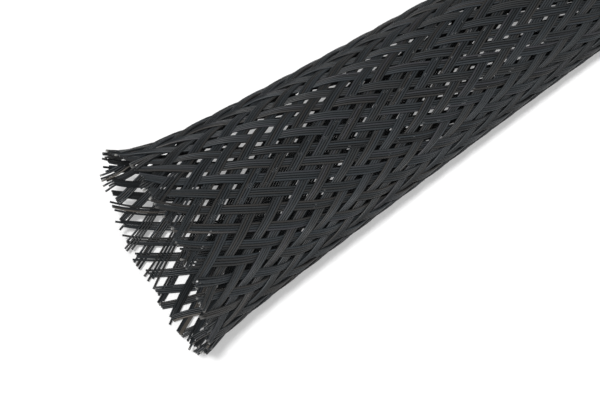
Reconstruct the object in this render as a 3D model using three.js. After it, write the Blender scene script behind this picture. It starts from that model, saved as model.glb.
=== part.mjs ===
// A braided cable sleeve: a length of open-weave PET tube, lying on its side, with one cut end opened up.
// Millimetres, +Z up, X along the sleeve. The origin is on the floor under the middle of its length.
import * as THREE from 'three';

// Driving dimensions
const sleeveLength = 305;        // one foot, the shortest length that is sold off the reel
const bodyWidth = 16;            // 16 mm (5/8 inch) nominal size, as the sleeve lies
const openedWidth = 22.5;        // width that the taper would reach at the opened end
const openedLength = 61.5;       // how far from the opened end the taper runs
const openedEase = 1.25;         // power that eases the taper into the straight body
const rimFlare = 2.65;           // extra width of the turned-out rim
const rimFlareLength = 3.45;     // distance in which the rim's extra width falls to a third
const cutDepth = 3.9;            // how far the slanting cut lies back on one side of the rim
const cutTurnDegrees = 18;       // how far above the +Y side the deepest place of the cut lies
const slumpRatio = 0.9;          // height over width of the section, which sags under its own weight
const wallThickness = 0.64;      // two crossing strands of monofilament and the slack between them

// Braid that the openings of the wall follow
const strandsEachWay = 32;       // strands that wind each way round the real braid
const crossingSide = 2.065;      // distance along a strand from one crossing to the next
const strandsInBar = 4;          // real strands that one bar of the solid wall stands for
const openRatio = 0.45;          // side of an opening over the side of the diamond that it is cut in

const halfLength = sleeveLength / 2;
const bars = strandsEachWay / strandsInBar;
const countingStep = 0.5;        // how closely the turn of the strands is added up

// Outer half width of the sleeve at a distance from the opened end
function outerRadius(fromOpenEnd) {
  const taperLeft = Math.max(0, 1 - fromOpenEnd / openedLength);
  const taper = (openedWidth - bodyWidth) * Math.pow(taperLeft, openedEase);
  const flare = rimFlare * Math.exp(-fromOpenEnd / rimFlareLength);
  return (bodyWidth + taper + flare) / 2;
}

// How fast a strand turns round the sleeve: the wider the sleeve, the flatter the strand lies
function turnRate(fromOpenEnd) {
  const meanRadius = (outerRadius(fromOpenEnd) * (1 + slumpRatio)) / 2;
  const lean = Math.asin((Math.PI * meanRadius) / (strandsEachWay * crossingSide));
  return Math.tan(lean) / meanRadius;
}

// Distances from the opened end of the rows where bars cross, evenly spaced in the strands' turn
function crossingRows() {
  const counts = Math.round(sleeveLength / countingStep);
  const step = sleeveLength / counts;
  const turns = [0];
  for (let i = 0; i < counts; i += 1) {
    turns.push(turns[i] + turnRate((i + 0.5) * step) * step);
  }
  const rowCount = Math.round((turns[counts] * bars) / Math.PI);
  const rows = [0];
  let i = 0;
  for (let row = 1; row < rowCount; row += 1) {
    const wanted = (turns[counts] * row) / rowCount;
    while (turns[i + 1] < wanted) {
      i += 1;
    }
    rows.push((i + (wanted - turns[i]) / (turns[i + 1] - turns[i])) * step);
  }
  return [...rows, sleeveLength];
}

// How far a point of the wall moves back for the slanting cut, at an angle up from the +Y side
function cutShift(fromOpenEnd, angle) {
  const cutLeft = Math.max(0, 1 - fromOpenEnd / openedLength);
  const fromDeepest = angle - THREE.MathUtils.degToRad(cutTurnDegrees);
  return (cutLeft * cutDepth * (1 + Math.cos(fromDeepest))) / 2;
}

// A point of the wall, with its place round the sleeve counted in bars
function wallPoint({ along, round }, depth) {
  const place = ((round % bars) + bars) % bars;
  const angle = ((2 * Math.PI) / bars) * (place + 1 / 4);
  const outer = outerRadius(along);
  const radius = outer - depth;
  return new THREE.Vector3(
    along + cutShift(along, angle) - halfLength,
    radius * Math.cos(angle),
    (outer + radius * Math.sin(angle)) * slumpRatio,
  );
}

// Corners of an opening, drawn in towards the middle of its cell
function openingIn(corners) {
  const middle = { along: 0, round: 0 };
  corners.forEach((corner) => {
    middle.along += corner.along / corners.length;
    middle.round += corner.round / corners.length;
  });
  return corners.map((corner) => ({
    along: middle.along + (corner.along - middle.along) * openRatio,
    round: middle.round + (corner.round - middle.round) * openRatio,
  }));
}

function sleeveWall() {
  const corners = [];
  const quad = (a, b, c, d) => corners.push(a, b, c, a, c, d);

  // One strip of wall between two edges, on the outer face and on the bore
  const strip = (a, b, c, d) => {
    quad(...[a, b, c, d].map((corner) => wallPoint(corner, 0)));
    quad(...[d, c, b, a].map((corner) => wallPoint(corner, wallThickness)));
  };

  // The wall's thickness along an edge, from its outer face to its bore
  const edge = (a, b) => {
    quad(wallPoint(a, 0), wallPoint(b, 0), wallPoint(b, wallThickness), wallPoint(a, wallThickness));
  };

  const cell = (outline) => {
    const opening = openingIn(outline);
    outline.forEach((corner, i) => {
      const next = (i + 1) % outline.length;
      strip(corner, outline[next], opening[next], opening[i]);
      edge(opening[i], opening[next]);
    });
  };

  const rows = crossingRows();
  const last = rows.length - 1;
  const crossing = (row, round) => ({ along: rows[row], round });
  for (let bar = 0; bar < bars; bar += 1) {
    for (let row = 1; row < last; row += 1) {
      const round = bar + row / 2;
      cell([
        crossing(row - 1, round + 1 / 2),
        crossing(row, round + 1),
        crossing(row + 1, round + 1 / 2),
        crossing(row, round),
      ]);
    }

    // Half cells at the opened rim are cut open too. Those at the plain end stay whole.
    const rim = [crossing(0, bar), crossing(0, bar + 1 / 2), crossing(0, bar + 1)];
    cell([...rim, crossing(1, bar + 1 / 2)]);
    edge(rim[1], rim[0]);
    edge(rim[2], rim[1]);
    const end = bar + last / 2;
    const plain = [crossing(last, end), crossing(last, end + 1 / 2), crossing(last, end + 1)];
    strip(crossing(last - 1, end + 1 / 2), plain[2], plain[1], plain[0]);
    edge(plain[0], plain[1]);
    edge(plain[1], plain[2]);
  }
  const geometry = new THREE.BufferGeometry().setFromPoints(corners);
  geometry.computeVertexNormals();
  return geometry;
}

const monofilament = new THREE.MeshStandardMaterial({ color: '#26282a', roughness: 0.45, metalness: 0 });

const sleeve = new THREE.Group();
const wall = new THREE.Mesh(sleeveWall(), monofilament);
wall.name = 'braided_wall';
sleeve.add(wall);

export default sleeve;
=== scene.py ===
# %% [markdown]
# A braided cable sleeve, dressed for its picture
#
# The real sleeve is a tube braided from black PET monofilament, as fine as stiff hair. Sixty-four strands
# of four filaments wind round it, half of them one way and half the other, and each strand passes over
# two strands and then under two. One end has been cut and pressed open.
#
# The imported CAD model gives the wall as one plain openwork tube. This lesson loads that tube as a fixed
# frame, braids every filament in its place with Geometry Nodes, and gives the filaments their satin black
# skin.

# %% Load the frame
import math

import bpy
from mathutils import Matrix, Vector


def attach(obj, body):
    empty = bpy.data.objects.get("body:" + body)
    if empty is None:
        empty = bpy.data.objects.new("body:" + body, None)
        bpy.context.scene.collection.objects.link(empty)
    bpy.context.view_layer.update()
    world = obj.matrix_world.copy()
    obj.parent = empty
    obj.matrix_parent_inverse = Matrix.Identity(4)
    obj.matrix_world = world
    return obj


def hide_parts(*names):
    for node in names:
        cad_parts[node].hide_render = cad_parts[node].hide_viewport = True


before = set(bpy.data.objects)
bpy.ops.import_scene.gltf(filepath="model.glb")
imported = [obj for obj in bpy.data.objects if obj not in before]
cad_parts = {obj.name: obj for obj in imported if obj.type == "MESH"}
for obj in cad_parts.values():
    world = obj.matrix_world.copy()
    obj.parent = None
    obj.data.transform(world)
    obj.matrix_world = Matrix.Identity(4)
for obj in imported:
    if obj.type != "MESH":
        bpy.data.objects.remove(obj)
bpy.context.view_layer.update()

MILLIMETRE = 0.001

# %% [markdown]
# The sizes of the sleeve
#
# The braid has to follow the same surface as the CAD wall, so the sizes that shape the wall are repeated
# here in the same words. The braid's own sizes are the thickness of a filament, how many lie side by
# side in a strand, how many strands run each way, and how far apart two crossings lie along a strand.
# The last two fix every angle in the braid: where the sleeve is wider its strands have to lie flatter.

# %% Sizes of the wall and of the braid
sleeve_length = 305 * MILLIMETRE
wall_sizes = {
    "Body width": 16 * MILLIMETRE,
    "Opened width": 22.5 * MILLIMETRE,
    "Opened length": 61.5 * MILLIMETRE,
    "Opened ease": 1.25,
    "Rim flare": 2.65 * MILLIMETRE,
    "Rim flare length": 3.45 * MILLIMETRE,
}
cut_depth = 3.9 * MILLIMETRE
cut_turn = math.radians(18)
slump = 0.9
wall_thickness = 0.64 * MILLIMETRE

filament_width = 0.27 * MILLIMETRE
strands_each_way = 32
filaments_in_strand = 4
crossing_side = 2.065 * MILLIMETRE
print("filaments in the sleeve:", 2 * strands_each_way * filaments_in_strand)

# %% [markdown]
# The camera
#
# The photograph looks down on the opened end from about sixty degrees, with the sleeve running away to the
# upper right. A long lens keeps the sleeve's sides nearly straight. The camera could be placed by eye, but
# its direction, distance and focal length were worked out from the outline of the sleeve in the
# photograph, so they are given as an angle round the sleeve, a height angle and a distance.

# %% Place the camera
image_width = 600
focal_pixels = 2050
camera_turn = math.radians(-37.7)
camera_height = math.radians(61.6)
camera_distance = 231.6 * MILLIMETRE
looked_at = Vector((-132.8, -2.9, 7.6)) * MILLIMETRE

back = Vector((
    math.sin(camera_turn) * math.cos(camera_height),
    -math.cos(camera_turn) * math.cos(camera_height),
    math.sin(camera_height),
))
right = Vector((math.cos(camera_turn), math.sin(camera_turn), 0))
up = back.cross(right)

camera_data = bpy.data.cameras.new("camera")
camera_data.sensor_width = 36
camera_data.lens = focal_pixels / image_width * camera_data.sensor_width
camera_data.clip_start = 0.01
camera_data.clip_end = 10
camera = bpy.data.objects.new("camera", camera_data)
turned = Matrix((right, up, back)).transposed().to_4x4()
camera.matrix_world = Matrix.Translation(looked_at + back * camera_distance) @ turned
bpy.context.scene.collection.objects.link(camera)
bpy.context.scene.camera = camera
print("lens in mm:", round(camera_data.lens, 1))

# %% [markdown]
# Adding nodes
#
# Both the braid and its finish are built from nodes. One small function adds a node to a tree, sets its
# options and fills its inputs in order. A number is written into the input, a node or an output is linked
# to it, and None leaves it alone.

# %% One function for every node
def output(node, name=None):
    return next(socket for socket in node.outputs if socket.enabled and name in (None, socket.name))


def add(tree, kind, *inputs, **settings):
    node = tree.nodes.new(kind)
    for name, value in settings.items():
        setattr(node, name, value)
    usable = [socket for socket in node.inputs if socket.enabled]
    for socket, value in zip(usable, inputs):
        if isinstance(value, bpy.types.Node):
            value = output(value)
        if isinstance(value, bpy.types.NodeSocket):
            tree.links.new(value, socket)
        elif value is not None:
            socket.default_value = value
    return node


def new_tree(name, inputs, gives):
    tree = bpy.data.node_groups.new(name, "GeometryNodeTree")
    for label, kind in inputs.items():
        tree.interface.new_socket(label, in_out="INPUT", socket_type="NodeSocket" + kind)
    for label, kind in gives.items():
        tree.interface.new_socket(label, in_out="OUTPUT", socket_type="NodeSocket" + kind)
    entry = tree.nodes.new("NodeGroupInput")
    return tree, {socket.name: socket for socket in entry.outputs if socket.name}


# %% [markdown]
# The wall's half width
#
# The sleeve is a straight tube whose last few centimetres widen in an easy curve, and whose rim turns out
# a little more, as cut braid does. The same rule is needed twice in the braid, once to find how steeply
# the strands wind and once to place them. So it is a small node group of its own.

# %% Node group for the half width
width_inputs = {"Distance": "Float", **{name: "Float" for name in wall_sizes}}
width_tree, given = new_tree("half_width", width_inputs, {"Half width": "Float"})
share = add(width_tree, "ShaderNodeMath", given["Distance"], given["Opened length"], operation="DIVIDE")
left = add(width_tree, "ShaderNodeMath", 1.0, share, operation="SUBTRACT", use_clamp=True)
eased = add(width_tree, "ShaderNodeMath", left, given["Opened ease"], operation="POWER")
extra = add(width_tree, "ShaderNodeMath", given["Opened width"], given["Body width"], operation="SUBTRACT")
tapered = add(width_tree, "ShaderNodeMath", extra, eased, given["Body width"], operation="MULTIPLY_ADD")
far = add(width_tree, "ShaderNodeMath", given["Distance"], given["Rim flare length"], operation="DIVIDE")
falling = add(width_tree, "ShaderNodeMath", far, -1.0, operation="MULTIPLY")
fallen = add(width_tree, "ShaderNodeMath", falling, operation="EXPONENT")
whole = add(width_tree, "ShaderNodeMath", fallen, given["Rim flare"], tapered, operation="MULTIPLY_ADD")
half = add(width_tree, "ShaderNodeMath", whole, 0.5, operation="MULTIPLY")
add(width_tree, "NodeGroupOutput", half)
print("half width group:", len(width_tree.nodes), "nodes")

# %% [markdown]
# The braid
#
# Each filament is a line of points that winds round the wall. It could be drawn by hand as a spiral curve
# and copied round, but the sleeve changes width, and a copied spiral would then have strands that drift
# apart. Instead the nodes make one long row of points, number them into filaments, and add up the turn
# of each filament step by step, steeper where the wall is narrow. The same count says where a strand
# lies over its neighbours and where under, so the two halves of the braid fit into each other.
#
# A real braid is never even. Its strands have slipped a little round the sleeve, so the gaps of the near
# and the far wall line up in some places and not in others. Each strand has also drifted by itself, and
# at the cut rim the crossings have moved apart. The slip, the drift and the opening are inputs too.
#
# The tree makes the strands that wind one way, over one stretch of the sleeve. It is run several times,
# because a single mesh of the whole braid would be too heavy.

# %% Inputs of the braid tree
braid_inputs = {
    "Length": "Float",
    **{name: "Float" for name in wall_sizes},
    "Cut depth": "Float",
    "Cut turn": "Float",
    "Slump": "Float",
    "Wall thickness": "Float",
    "Strands each way": "Int",
    "Filaments in strand": "Int",
    "Filament width": "Float",
    "Filament spacing": "Float",
    "Crossing side": "Float",
    "Rim opening": "Float",
    "Rim opening length": "Float",
    "Wave height": "Float",
    "Hand": "Float",
    "Own place": "Float",
    "Own slip": "Float",
    "Other place": "Float",
    "Other slip": "Float",
    "Even side": "Float",
    "Strand drift": "Float",
    "Fine steps": "Int",
    "Fine step": "Float",
    "Coarse steps": "Int",
    "From": "Float",
    "To": "Float",
    "Sides": "Int",
    "Rim spread": "Float",
    "Fray": "Float",
    "Fray length": "Float",
    "Loose end": "Float",
    "Seed": "Int",
    "Material": "Material",
}
braid_tree, given = new_tree("braid", braid_inputs, {"Geometry": "Geometry"})
print("braid tree inputs:", len(given))

# %% [markdown]
# One row of points
#
# The 128 filaments of one hand could be made one by one in a loop. It is simpler to make all their points
# in one go. Each point then finds out from its number which filament it is on and how many steps along.
# The steps are fine over the opened stretch, which the picture shows, and coarser beyond it.

# %% Number the points into filaments and steps
filaments = add(braid_tree, "ShaderNodeMath", given["Strands each way"], given["Filaments in strand"],
                operation="MULTIPLY")
steps = add(braid_tree, "ShaderNodeMath", given["Fine steps"], given["Coarse steps"], operation="ADD")
points_each = add(braid_tree, "ShaderNodeMath", steps, 1.0, operation="ADD")
count = add(braid_tree, "ShaderNodeMath", filaments, points_each, operation="MULTIPLY")
points = add(braid_tree, "GeometryNodePoints", count)
index = add(braid_tree, "GeometryNodeInputIndex")
row = add(braid_tree, "ShaderNodeMath", index, points_each, operation="DIVIDE")
filament = add(braid_tree, "ShaderNodeMath", row, operation="FLOOR")
step = add(braid_tree, "ShaderNodeMath", index, points_each, operation="MODULO")
by_strand = add(braid_tree, "ShaderNodeMath", filament, given["Filaments in strand"], operation="DIVIDE")
strand = add(braid_tree, "ShaderNodeMath", by_strand, operation="FLOOR")
place_in_strand = add(braid_tree, "ShaderNodeMath", filament, given["Filaments in strand"],
                      operation="MODULO")
print("nodes up to the numbering:", len(braid_tree.nodes))

# %% Distance along the sleeve, in fine steps near the mouth and coarse ones beyond
fine_reach = add(braid_tree, "ShaderNodeMath", given["Fine steps"], given["Fine step"],
                 operation="MULTIPLY")
coarse_reach = add(braid_tree, "ShaderNodeMath", given["Length"], fine_reach, operation="SUBTRACT")
coarse_step = add(braid_tree, "ShaderNodeMath", coarse_reach, given["Coarse steps"], operation="DIVIDE")
fine_done = add(braid_tree, "ShaderNodeMath", step, given["Fine steps"], operation="MINIMUM")
coarse_done = add(braid_tree, "ShaderNodeMath", step, fine_done, operation="SUBTRACT")
fine_part = add(braid_tree, "ShaderNodeMath", fine_done, given["Fine step"], operation="MULTIPLY")
along = add(braid_tree, "ShaderNodeMath", coarse_done, coarse_step, fine_part, operation="MULTIPLY_ADD")
is_fine = add(braid_tree, "ShaderNodeMath", step, given["Fine steps"], operation="LESS_THAN")
this_step = add(braid_tree, "GeometryNodeSwitch", is_fine, coarse_step, given["Fine step"],
                input_type="FLOAT")
print("nodes up to the distances:", len(braid_tree.nodes))

# %% [markdown]
# How steeply the strands wind
#
# The strands enclose small diamonds, whose sides keep their length when the sleeve is pulled wide or long.
# As many diamonds lie round the sleeve as there are strands each way. So the sleeve's width gives the
# width of a diamond, that gives how far its sides lean from the sleeve's length, and the lean gives how
# far a strand turns in each step. Near the rim the diamonds have opened, so their sides are longer there.

# %% Turn of the strands, added up step by step
middle_cut = add(braid_tree, "ShaderNodeMath", given["Cut depth"], 0.5, operation="MULTIPLY")
from_middle = add(braid_tree, "ShaderNodeMath", along, middle_cut, operation="SUBTRACT")
from_middle = add(braid_tree, "ShaderNodeMath", from_middle, 0.0, operation="MAXIMUM")
given_wall = [given[name] for name in wall_sizes]
middle_width = add(braid_tree, "GeometryNodeGroup", from_middle, *given_wall, node_tree=width_tree)
roundness = add(braid_tree, "ShaderNodeMath", given["Slump"], 0.5, 0.5, operation="MULTIPLY_ADD")
mean_radius = add(braid_tree, "ShaderNodeMath", middle_width, roundness, operation="MULTIPLY")
half_turn = add(braid_tree, "ShaderNodeMath", mean_radius, math.pi, operation="MULTIPLY")
opening_far = add(braid_tree, "ShaderNodeMath", along, given["Rim opening length"], operation="DIVIDE")
opening_falling = add(braid_tree, "ShaderNodeMath", opening_far, -1.0, operation="MULTIPLY")
opening_share = add(braid_tree, "ShaderNodeMath", opening_falling, operation="EXPONENT")
opening = add(braid_tree, "ShaderNodeMath", opening_share, given["Rim opening"], 1.0,
              operation="MULTIPLY_ADD")
side_here = add(braid_tree, "ShaderNodeMath", given["Crossing side"], opening, operation="MULTIPLY")
all_sides = add(braid_tree, "ShaderNodeMath", given["Strands each way"], side_here, operation="MULTIPLY")
lean_sine = add(braid_tree, "ShaderNodeMath", half_turn, all_sides, operation="DIVIDE", use_clamp=True)
lean = add(braid_tree, "ShaderNodeMath", lean_sine, operation="ARCSINE")
lean_slope = add(braid_tree, "ShaderNodeMath", lean, operation="TANGENT")
turn_rate = add(braid_tree, "ShaderNodeMath", lean_slope, mean_radius, operation="DIVIDE")
turn_step = add(braid_tree, "ShaderNodeMath", turn_rate, this_step, operation="MULTIPLY")
turned_sum = add(braid_tree, "GeometryNodeAccumulateField", turn_step, filament, data_type="FLOAT",
                 domain="POINT")
turned = output(turned_sum, "Trailing")
turn = add(braid_tree, "ShaderNodeMath", turned, given["Hand"], operation="MULTIPLY")
print("nodes up to the turn:", len(braid_tree.nodes))

# %% [markdown]
# Slip, drift and the slanting cut
#
# Each strand starts a little off its even place. On one side of the sleeve that is all, and towards the
# opposite side the strands have also slipped, further and further. The shears went through at a slant, so
# how far a point lies from the rim depends on where it is round the sleeve.

# %% Angle of the strand round the sleeve, and how far the slanting cut lies back there
random_draws = 7
seeds = [
    add(braid_tree, "ShaderNodeMath", given["Seed"], float(i), operation="ADD")
    for i in range(random_draws)
]
random_drift = add(braid_tree, "FunctionNodeRandomValue", -1.0, 1.0, strand, seeds[6], data_type="FLOAT")
drift = add(braid_tree, "ShaderNodeMath", random_drift, given["Strand drift"], operation="MULTIPLY")
own_place = add(braid_tree, "ShaderNodeMath", given["Own place"], drift, operation="ADD")
even_place = add(braid_tree, "ShaderNodeMath", strand, own_place, operation="ADD")
strand_angle = add(braid_tree, "ShaderNodeMath", 2 * math.pi, given["Strands each way"],
                   operation="DIVIDE")
even_angle = add(braid_tree, "ShaderNodeMath", even_place, strand_angle, turn, operation="MULTIPLY_ADD")
from_even_side = add(braid_tree, "ShaderNodeMath", even_angle, given["Even side"], operation="SUBTRACT")
even_share = add(braid_tree, "ShaderNodeMath", from_even_side, operation="COSINE")
away = add(braid_tree, "ShaderNodeMath", even_share, -0.5, 0.5, operation="MULTIPLY_ADD")
slip_ease = 2.0
slipped = add(braid_tree, "ShaderNodeMath", away, slip_ease, operation="POWER")
strand_place = add(braid_tree, "ShaderNodeMath", slipped, given["Own slip"], even_place,
                   operation="MULTIPLY_ADD")
middle_angle = add(braid_tree, "ShaderNodeMath", strand_place, strand_angle, turn,
                   operation="MULTIPLY_ADD")
from_cut = add(braid_tree, "ShaderNodeMath", middle_angle, given["Cut turn"], operation="SUBTRACT")
cut_wave = add(braid_tree, "ShaderNodeMath", from_cut, operation="SINE")
cut_share = add(braid_tree, "ShaderNodeMath", 1.0, cut_wave, operation="SUBTRACT")
cut_back = add(braid_tree, "ShaderNodeMath", cut_share, middle_cut, operation="MULTIPLY")
past_cut = add(braid_tree, "ShaderNodeMath", along, cut_back, operation="SUBTRACT")
cut_part = add(braid_tree, "ShaderNodeMath", cut_back, given["Opened length"], operation="DIVIDE")
cut_left = add(braid_tree, "ShaderNodeMath", 1.0, cut_part, operation="SUBTRACT")
from_rim = add(braid_tree, "ShaderNodeMath", past_cut, cut_left, operation="DIVIDE")
print("nodes up to the cut:", len(braid_tree.nodes))

# %% [markdown]
# Strands, and how they come apart
#
# Four filaments lie side by side in a strand, as wires do in a ribbon cable. At the cut nothing holds them
# any more. Some strands fan out, and each filament springs a little to one side, in or out, and ends at a
# length of its own. These are random numbers, drawn once for each strand or filament from the seed, so
# the sleeve comes out the same each time.

# %% Filaments side by side in their strand, spreading towards the rim
tight_below = 0.45
loose_above = 0.75
rim_far = add(braid_tree, "ShaderNodeMath", from_rim, given["Fray length"], operation="DIVIDE")
rim_falling = add(braid_tree, "ShaderNodeMath", rim_far, -1.0, operation="MULTIPLY")
rim_share = add(braid_tree, "ShaderNodeMath", rim_falling, operation="EXPONENT")
random_slack = add(braid_tree, "FunctionNodeRandomValue", -1.0, 1.0, strand, seeds[4], data_type="FLOAT")
strand_slack = add(braid_tree, "ShaderNodeMapRange", random_slack, tight_below, loose_above, 0.0, 1.0)
spread_here = add(braid_tree, "ShaderNodeMath", strand_slack, given["Rim spread"], operation="MULTIPLY")
spread = add(braid_tree, "ShaderNodeMath", rim_share, spread_here, 1.0, operation="MULTIPLY_ADD")
spacing = add(braid_tree, "ShaderNodeMath", given["Filament spacing"], spread, operation="MULTIPLY")
last_place = add(braid_tree, "ShaderNodeMath", given["Filaments in strand"], 1.0, operation="SUBTRACT")
middle_place = add(braid_tree, "ShaderNodeMath", last_place, 0.5, operation="MULTIPLY")
off_middle = add(braid_tree, "ShaderNodeMath", place_in_strand, middle_place, operation="SUBTRACT")
sideways = add(braid_tree, "ShaderNodeMath", off_middle, spacing, operation="MULTIPLY")
double_lean = add(braid_tree, "ShaderNodeMath", lean, 2.0, operation="MULTIPLY")
double_sine = add(braid_tree, "ShaderNodeMath", double_lean, operation="SINE")
strand_pitch = add(braid_tree, "ShaderNodeMath", side_here, double_sine, operation="MULTIPLY")
print("nodes up to the spreading:", len(braid_tree.nodes))

# %% Ragged ends: each filament has its own length, spring and tone
longest_strand = -0.7
shortest_strand = 0.3
uneven_filament = 0.35
furthest_in = -0.6
loose_ease = 2.0
strand_end = add(braid_tree, "FunctionNodeRandomValue", longest_strand, shortest_strand, strand, seeds[5],
                 data_type="FLOAT")
filament_end = add(braid_tree, "FunctionNodeRandomValue", -uneven_filament, uneven_filament, filament,
                   seeds[0], data_type="FLOAT")
random_end = add(braid_tree, "ShaderNodeMath", filament_end, strand_end, operation="ADD")
random_side = add(braid_tree, "FunctionNodeRandomValue", -1.0, 1.0, filament, seeds[1], data_type="FLOAT")
random_out = add(braid_tree, "FunctionNodeRandomValue", furthest_in, 1.0, filament, seeds[2],
                 data_type="FLOAT")
tone = add(braid_tree, "FunctionNodeRandomValue", 0.0, 1.0, filament, seeds[3], data_type="FLOAT")
end_at = add(braid_tree, "ShaderNodeMath", random_end, given["Fray"], operation="MULTIPLY")
freedom = add(braid_tree, "ShaderNodeMath", 1.0, rim_far, operation="SUBTRACT", use_clamp=True)
eased_freedom = add(braid_tree, "ShaderNodeMath", freedom, loose_ease, operation="POWER")
looseness = add(braid_tree, "ShaderNodeMath", eased_freedom, given["Loose end"], operation="MULTIPLY")
sideways = add(braid_tree, "ShaderNodeMath", random_side, looseness, sideways, operation="MULTIPLY_ADD")
outwards = add(braid_tree, "ShaderNodeMath", random_out, looseness, operation="MULTIPLY")
print("nodes up to the ragged ends:", len(braid_tree.nodes))

# %% [markdown]
# Over two, under two
#
# A strand meets one strand of the other hand after another, and it lies over two of them and then under
# two. So its height is a wave as long as four crossings, and the strands of the other hand take the same
# wave upside down. The wave counts crossings and not millimetres. That keeps the two hands in step where
# the sleeve widens and where the strands have slipped.

# %% Over two strands, under two
strand_share = add(braid_tree, "ShaderNodeMath", sideways, strand_pitch, operation="DIVIDE")
angle = add(braid_tree, "ShaderNodeMath", strand_share, strand_angle, middle_angle,
            operation="MULTIPLY_ADD")
both_turns = add(braid_tree, "ShaderNodeMath", given["Strands each way"], 1 / math.pi,
                 operation="MULTIPLY")
crossed = add(braid_tree, "ShaderNodeMath", turn, both_turns, strand_share, operation="MULTIPLY_ADD")
twice_strand = add(braid_tree, "ShaderNodeMath", strand, 2.0, crossed, operation="MULTIPLY_ADD")
even_apart = add(braid_tree, "ShaderNodeMath", own_place, given["Other place"], operation="SUBTRACT")
slips_apart = add(braid_tree, "ShaderNodeMath", given["Own slip"], given["Other slip"],
                  operation="SUBTRACT")
places_apart = add(braid_tree, "ShaderNodeMath", slips_apart, slipped, even_apart,
                   operation="MULTIPLY_ADD")
crossing = add(braid_tree, "ShaderNodeMath", twice_strand, places_apart, operation="ADD")
mid_float = add(braid_tree, "ShaderNodeMath", crossing, 0.5, operation="SUBTRACT")
quarter_turns = add(braid_tree, "ShaderNodeMath", mid_float, math.pi / 2, operation="MULTIPLY")
wave = add(braid_tree, "ShaderNodeMath", quarter_turns, operation="COSINE")
peak = add(braid_tree, "ShaderNodeMath", given["Wave height"], math.sqrt(2), operation="MULTIPLY")
signed_peak = add(braid_tree, "ShaderNodeMath", peak, given["Hand"], operation="MULTIPLY")
lift = add(braid_tree, "ShaderNodeMath", wave, signed_peak, outwards, operation="MULTIPLY_ADD")
print("nodes up to the weave:", len(braid_tree.nodes))

# %% [markdown]
# Onto the wall, and from points to filaments
#
# The wall's half width gives the radius at each distance from the rim, and the wave lifts each point from
# the middle of the wall. The section is a circle that has sagged to nine tenths of its height and rests
# on the floor. Then the points of the wanted stretch are joined into curves, filament by filament, and a
# small circle is swept along each curve. What the finish reads later is stored on the way.

# %% Place the points round the wall
furthest_out = -1 * MILLIMETRE
in_reach = add(braid_tree, "ShaderNodeMath", from_rim, furthest_out, operation="MAXIMUM")
width_here = add(braid_tree, "GeometryNodeGroup", in_reach, *given_wall, node_tree=width_tree)
wall_middle = add(braid_tree, "ShaderNodeMath", given["Wall thickness"], -0.5, width_here,
                  operation="MULTIPLY_ADD")
radius = add(braid_tree, "ShaderNodeMath", wall_middle, lift, operation="ADD")
sine = add(braid_tree, "ShaderNodeMath", angle, operation="SINE")
cosine = add(braid_tree, "ShaderNodeMath", angle, operation="COSINE")
across = add(braid_tree, "ShaderNodeMath", radius, sine, operation="MULTIPLY")
across = add(braid_tree, "ShaderNodeMath", across, -1.0, operation="MULTIPLY")
height = add(braid_tree, "ShaderNodeMath", radius, cosine, width_here, operation="MULTIPLY_ADD")
height = add(braid_tree, "ShaderNodeMath", height, given["Slump"], operation="MULTIPLY")
half_length = add(braid_tree, "ShaderNodeMath", given["Length"], 0.5, operation="MULTIPLY")
lengthwise = add(braid_tree, "ShaderNodeMath", along, half_length, operation="SUBTRACT")
place = add(braid_tree, "ShaderNodeCombineXYZ", lengthwise, across, height)
placed = add(braid_tree, "GeometryNodeSetPosition", points, None, place)
print("nodes up to the placing:", len(braid_tree.nodes))

# %% Note what the finish needs to know, and cut the filaments to length
from_end = add(braid_tree, "ShaderNodeMath", from_rim, end_at, operation="SUBTRACT")
noted = placed
for name, value in {"along": along, "tone": tone, "from_end": from_end, "filament": filament}.items():
    noted = add(braid_tree, "GeometryNodeStoreNamedAttribute", noted, None, name, value, data_type="FLOAT",
                domain="POINT")
hair = 0.01 * MILLIMETRE
too_near = add(braid_tree, "ShaderNodeMath", given["From"], hair, operation="SUBTRACT")
too_far = add(braid_tree, "ShaderNodeMath", given["To"], hair, operation="ADD")
before = add(braid_tree, "ShaderNodeMath", along, too_near, operation="LESS_THAN")
after = add(braid_tree, "ShaderNodeMath", along, too_far, operation="GREATER_THAN")
cut_off = add(braid_tree, "ShaderNodeMath", from_end, 0.0, operation="LESS_THAN")
outside = add(braid_tree, "ShaderNodeMath", before, after, operation="ADD")
outside = add(braid_tree, "ShaderNodeMath", outside, cut_off, operation="ADD")
kept = add(braid_tree, "GeometryNodeDeleteGeometry", noted, outside, domain="POINT")
filament_noted = add(braid_tree, "GeometryNodeInputNamedAttribute", "filament", data_type="FLOAT")
along_noted = add(braid_tree, "GeometryNodeInputNamedAttribute", "along", data_type="FLOAT")
curves = add(braid_tree, "GeometryNodePointsToCurves", kept, filament_noted, along_noted)
print("nodes up to the curves:", len(braid_tree.nodes))

# %% Give the lines their round section
filament_radius = add(braid_tree, "ShaderNodeMath", given["Filament width"], 0.5, operation="MULTIPLY")
circle = add(braid_tree, "GeometryNodeCurvePrimitiveCircle", given["Sides"], filament_radius)
side = add(braid_tree, "GeometryNodeInputIndex")
around = add(braid_tree, "ShaderNodeMath", side, given["Sides"], operation="DIVIDE")
section = add(braid_tree, "GeometryNodeStoreNamedAttribute", circle, None, "around", around,
              data_type="FLOAT", domain="POINT")
tubes = add(braid_tree, "GeometryNodeCurveToMesh", curves, section, None, True)
smooth = add(braid_tree, "GeometryNodeSetShadeSmooth", tubes)
realized = add(braid_tree, "GeometryNodeRealizeInstances", smooth)
finished = add(braid_tree, "GeometryNodeSetMaterial", realized, None, given["Material"])
add(braid_tree, "NodeGroupOutput", finished)
print("braid tree:", len(braid_tree.nodes), "nodes")

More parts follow.
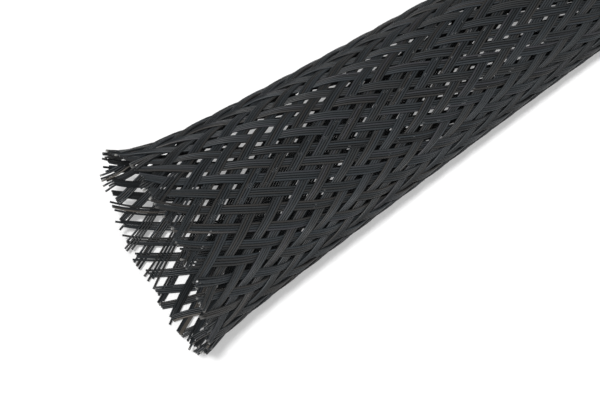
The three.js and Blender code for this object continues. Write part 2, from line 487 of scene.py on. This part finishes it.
# %% [markdown]
# The monofilament's skin
#
# The filaments are PET, coloured black in the melt and drawn through a die, so the skin is smooth and
# satin with faint lines along the filament. Black plastic as fine as this never looks black: every
# filament carries a pale streak of reflected light along its back, and no two have quite the same grey.
# The reflection comes from the round section itself. The colour and the drawn lines come from values
# that the braid tree stored on the mesh, so they follow each filament through the weave. Real drawn lines
# are far too fine to show here, so these are coarser: 4 mm long and a fifth of the way round a filament.
#
# At the opened end a few filaments get a paler brownish grey over their last millimetres. It is a painted
# highlight, standing for the glints of light on filaments turned towards the lamp. Some cut ends are
# milky, partly because PET whitens where it is sheared and partly as painted highlights on the ends. Paint
# on an image could show this too, but the distance from the cut, also stored on the mesh, puts it at the
# ends.

# %% Colours, turned from sRGB to linear
def linear(hexadecimal):
    channels = [int(hexadecimal[i:i + 2], 16) / 255 for i in (1, 3, 5)]
    return [c / 12.92 if c <= 0.04045 else ((c + 0.055) / 1.055) ** 2.4 for c in channels] + [1.0]


def new_material(name):
    material = bpy.data.materials.new(name)
    material.use_nodes = True
    material.node_tree.nodes.clear()
    return material, material.node_tree


# %% Greys of the satin black PET monofilament, from filament to filament
first_grey = "#1f2021"
middle_greys = {0.35: "#25282a", 0.6: "#2a2928", 0.8: "#282c2f"}
last_grey = "#2f2f32"
monofilament, tree = new_material("satin_pet_monofilament")
end_noted = add(tree, "ShaderNodeAttribute", attribute_name="from_end")
tone_noted = add(tree, "ShaderNodeAttribute", attribute_name="tone")
along_noted = add(tree, "ShaderNodeAttribute", attribute_name="along")
around_noted = add(tree, "ShaderNodeAttribute", attribute_name="around")
greys = add(tree, "ShaderNodeValToRGB", output(tone_noted, "Fac"))
stops = greys.color_ramp.elements
stops[0].color = linear(first_grey)
stops[1].color = linear(last_grey)
for position, grey in middle_greys.items():
    stops.new(position).color = linear(grey)
print("greys:", len(stops))

# %% Drawn lines, which change the gloss and the relief
line_length = 4 * MILLIMETRE
lines_round = 5.0
filaments_apart = 97.0
line_detail = 2.0
line_edges = (0.3, 0.7)
glossiest = 0.3
dullest = 0.46
line_relief = 0.01 * MILLIMETRE
relief_strength = 0.15
drawn_length = add(tree, "ShaderNodeMath", output(along_noted, "Fac"), 1 / line_length,
                   operation="MULTIPLY")
own_pattern = add(tree, "ShaderNodeMath", output(tone_noted, "Fac"), filaments_apart,
                  operation="MULTIPLY")
own_side = add(tree, "ShaderNodeMath", output(around_noted, "Fac"), lines_round, operation="MULTIPLY")
drawn_place = add(tree, "ShaderNodeCombineXYZ", drawn_length, own_pattern, own_side)
drawn_lines = add(tree, "ShaderNodeTexNoise", drawn_place, 1.0, line_detail)
roughness = add(tree, "ShaderNodeMapRange", output(drawn_lines, "Fac"), *line_edges, glossiest, dullest)
bump = add(tree, "ShaderNodeBump", relief_strength, line_relief)
tree.links.new(output(drawn_lines, "Fac"), bump.inputs["Height"])
print("gloss from", glossiest, "to", dullest)

# %% Painted glints on a few filaments, and milky cut ends with painted highlights
# Painted highlight: a paler brownish grey on a few filaments near the cut stands for glints of light.
painted_glint_grey = "#4e4a45"
painted_glint_stretch = (2 * MILLIMETRE, 9 * MILLIMETRE)
painted_glint_tones = (0.93, 0.97)
# Milky cut ends: partly PET whitened by the shears, and partly a painted highlight on the ends.
milky_and_highlight_grey = "#8a8986"
milky_and_highlight_stretch = (0.1 * MILLIMETRE, 0.45 * MILLIMETRE)
milky_and_highlight_tones = (0.5, 0.8)
milky_and_highlight_here = add(tree, "ShaderNodeMapRange", output(end_noted, "Fac"), *milky_and_highlight_stretch, 1.0, 0.0)
painted_glint_here = add(tree, "ShaderNodeMapRange", output(end_noted, "Fac"), *painted_glint_stretch, 1.0, 0.0)
painted_glint_filament = add(tree, "ShaderNodeMapRange", output(tone_noted, "Fac"), *painted_glint_tones, 0.0, 1.0)
painted_glint = add(tree, "ShaderNodeMath", painted_glint_filament, painted_glint_here, operation="MULTIPLY")
greys_with_painted_glints = add(tree, "ShaderNodeMix", painted_glint, output(greys, "Color"), linear(painted_glint_grey),
                   data_type="RGBA")
milky_and_highlight_filament = add(tree, "ShaderNodeMapRange", output(tone_noted, "Fac"), *milky_and_highlight_tones, 0.0, 1.0)
milky_and_highlight = add(tree, "ShaderNodeMath", milky_and_highlight_here, milky_and_highlight_filament, operation="MULTIPLY")
skin_greys = add(tree, "ShaderNodeMix", milky_and_highlight, greys_with_painted_glints, linear(milky_and_highlight_grey), data_type="RGBA")
print("rubbed ends:", painted_glint_grey, "and milky ends:", milky_and_highlight_grey)

# %% The skin itself
pet_ior = 1.575
satin_level = 0.13
skin = add(tree, "ShaderNodeBsdfPrincipled")
skin.inputs["IOR"].default_value = pet_ior
skin.inputs["Specular IOR Level"].default_value = satin_level
tree.links.new(output(skin_greys), skin.inputs["Base Color"])
tree.links.new(output(roughness), skin.inputs["Roughness"])
tree.links.new(output(bump), skin.inputs["Normal"])
add(tree, "ShaderNodeOutputMaterial", skin)
print("monofilament finish:", len(tree.nodes), "nodes")

# %% Sizes of the braid
braid_sizes = {
    "Length": sleeve_length,
    **wall_sizes,
    "Cut depth": cut_depth,
    "Cut turn": cut_turn,
    "Slump": slump,
    "Wall thickness": wall_thickness,
    "Strands each way": strands_each_way,
    "Filaments in strand": filaments_in_strand,
    "Filament width": filament_width,
    "Filament spacing": 0.265 * MILLIMETRE,
    "Crossing side": crossing_side,
    "Rim opening": 0.3,
    "Rim opening length": 4 * MILLIMETRE,
    "Wave height": 0.14 * MILLIMETRE,
    "Fine steps": 110,
    "Fine step": 0.61 * MILLIMETRE,
    "Coarse steps": 240,
    "Rim spread": 0.75,
    "Even side": math.radians(25),
    "Strand drift": 0.1,
    "Fray": 0.8 * MILLIMETRE,
    "Fray length": 4 * MILLIMETRE,
    "Loose end": 0.12 * MILLIMETRE,
    "Material": monofilament,
}
fine_end = braid_sizes["Fine steps"] * braid_sizes["Fine step"]
middle_end = (fine_end + sleeve_length) / 2
right_place = 0.684
right_slip = -0.2
left_place = -0.444
left_slip = 0.35
right_strands = {
    "Hand": 1.0,
    "Own place": right_place,
    "Own slip": right_slip,
    "Other place": left_place,
    "Other slip": left_slip,
    "Seed": 8,
}
left_strands = {
    "Hand": -1.0,
    "Own place": left_place,
    "Own slip": left_slip,
    "Other place": right_place,
    "Other slip": right_slip,
    "Seed": 31,
}
print("fine steps reach", round(fine_end / MILLIMETRE, 1), "mm from the opened end")


# %% Braid the sleeve, stretch by stretch
def braid(name, **own_sizes):
    sleeve = bpy.data.objects.new(name, bpy.data.meshes.new(name))
    bpy.context.scene.collection.objects.link(sleeve)
    modifier = sleeve.modifiers.new("braid", "NODES")
    modifier.node_group = braid_tree
    sizes = {**braid_sizes, **own_sizes}
    for item in braid_tree.interface.items_tree:
        if item.in_out == "INPUT":
            modifier[item.identifier] = sizes[item.name]
    made = sleeve.evaluated_get(bpy.context.evaluated_depsgraph_get())
    mesh = bpy.data.meshes.new_from_object(made)
    sleeve.modifiers.clear()
    sleeve.data = mesh
    mesh.name = name
    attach(sleeve, "root")
    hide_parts("braided_wall")
    print(name, "has", sum(len(face.vertices) - 2 for face in mesh.polygons), "triangles")


stretches = {
    "opened": {"From": 0.0, "To": fine_end, "Sides": 6},
    "middle": {"From": fine_end, "To": middle_end, "Sides": 4},
    "plain_end": {"From": middle_end, "To": sleeve_length, "Sides": 4},
}
for stretch, part_sizes in stretches.items():
    braid(f"right_hand_strands_{stretch}", **part_sizes, **right_strands)
    braid(f"left_hand_strands_{stretch}", **part_sizes, **left_strands)

# %% [markdown]
# The table and the light
#
# The sleeve was photographed on pure white. Even the floor that shows through both walls is light, and
# plain white paper would be too dark there, in the sleeve's own shadow. So the floor is a sheet of opal
# acrylic with a little light behind it.
#
# The shadow lies in a narrow band along the near side. A small lamp overhead, a little towards the viewer,
# keeps it narrow and draws the fine streaks along the filaments. A broad lamp to the right softens the
# look of the braid, and a dim white sky fills the rest.

# %% A wide sheet for the floor
half_floor = 3.0
floor_mesh = bpy.data.meshes.new("floor")
corners = [
    (-half_floor, -half_floor, 0),
    (half_floor, -half_floor, 0),
    (half_floor, half_floor, 0),
    (-half_floor, half_floor, 0),
]
floor_mesh.from_pydata(corners, [], [(0, 1, 2, 3)])
floor = bpy.data.objects.new("floor", floor_mesh)
bpy.context.scene.collection.objects.link(floor)
print("floor:", 2 * half_floor, "m wide")

# %% Opal acrylic, with a grain that is too faint to show as more than a slight unevenness
white = (1.0, 1.0, 1.0, 1.0)
grains_across = 900.0
grain_detail = 3.0
whites = (0.6, 0.64)
glow_strength = 0.29
acrylic, tree = new_material("opal_acrylic_lit_from_below")
across_floor = add(tree, "ShaderNodeTexCoord")
grains_in_metre = grains_across / (2 * half_floor)
grains = add(tree, "ShaderNodeTexNoise", output(across_floor, "Object"), grains_in_metre, grain_detail)
grain_white = add(tree, "ShaderNodeMapRange", output(grains, "Fac"), 0.0, 1.0, *whites)
sheet = add(tree, "ShaderNodeBsdfDiffuse", grain_white)
glow = add(tree, "ShaderNodeEmission", white, glow_strength)
lit_sheet = add(tree, "ShaderNodeAddShader", sheet, glow)
add(tree, "ShaderNodeOutputMaterial", lit_sheet)
floor_mesh.materials.append(acrylic)
print("grains of the floor in mm:", round(1 / (grains_in_metre * MILLIMETRE), 1))

# %% Sky and lamps
sky = bpy.data.worlds.new("white_sky")
sky.use_nodes = True
background = sky.node_tree.nodes["Background"]
background.inputs["Color"].default_value = white
background.inputs["Strength"].default_value = 0.15
bpy.context.scene.world = sky
bpy.context.scene.view_settings.view_transform = "Standard"
lamp_distance = 1.0


def place_lamp(name, size, energy, toward):
    lamp_data = bpy.data.lights.new(name, "AREA")
    lamp_data.shape = "DISK"
    lamp_data.size = size
    lamp_data.energy = energy
    lamp = bpy.data.objects.new(name, lamp_data)
    toward_lamp = toward.normalized()
    lamp.location = looked_at + toward_lamp * lamp_distance
    lamp.rotation_euler = toward_lamp.to_track_quat("Z", "Y").to_euler()
    bpy.context.scene.collection.objects.link(lamp)
    print(name, "is", round(lamp.location.z, 2), "m above the floor")


overhead = Vector((0, 0, 1))
place_lamp("broad_lamp", size=1.6, energy=8.5, toward=right * 0.35 - up * 0.25 + overhead)
place_lamp("small_lamp", size=0.12, energy=9.2, toward=overhead - right * 0.08 - up * 0.36)
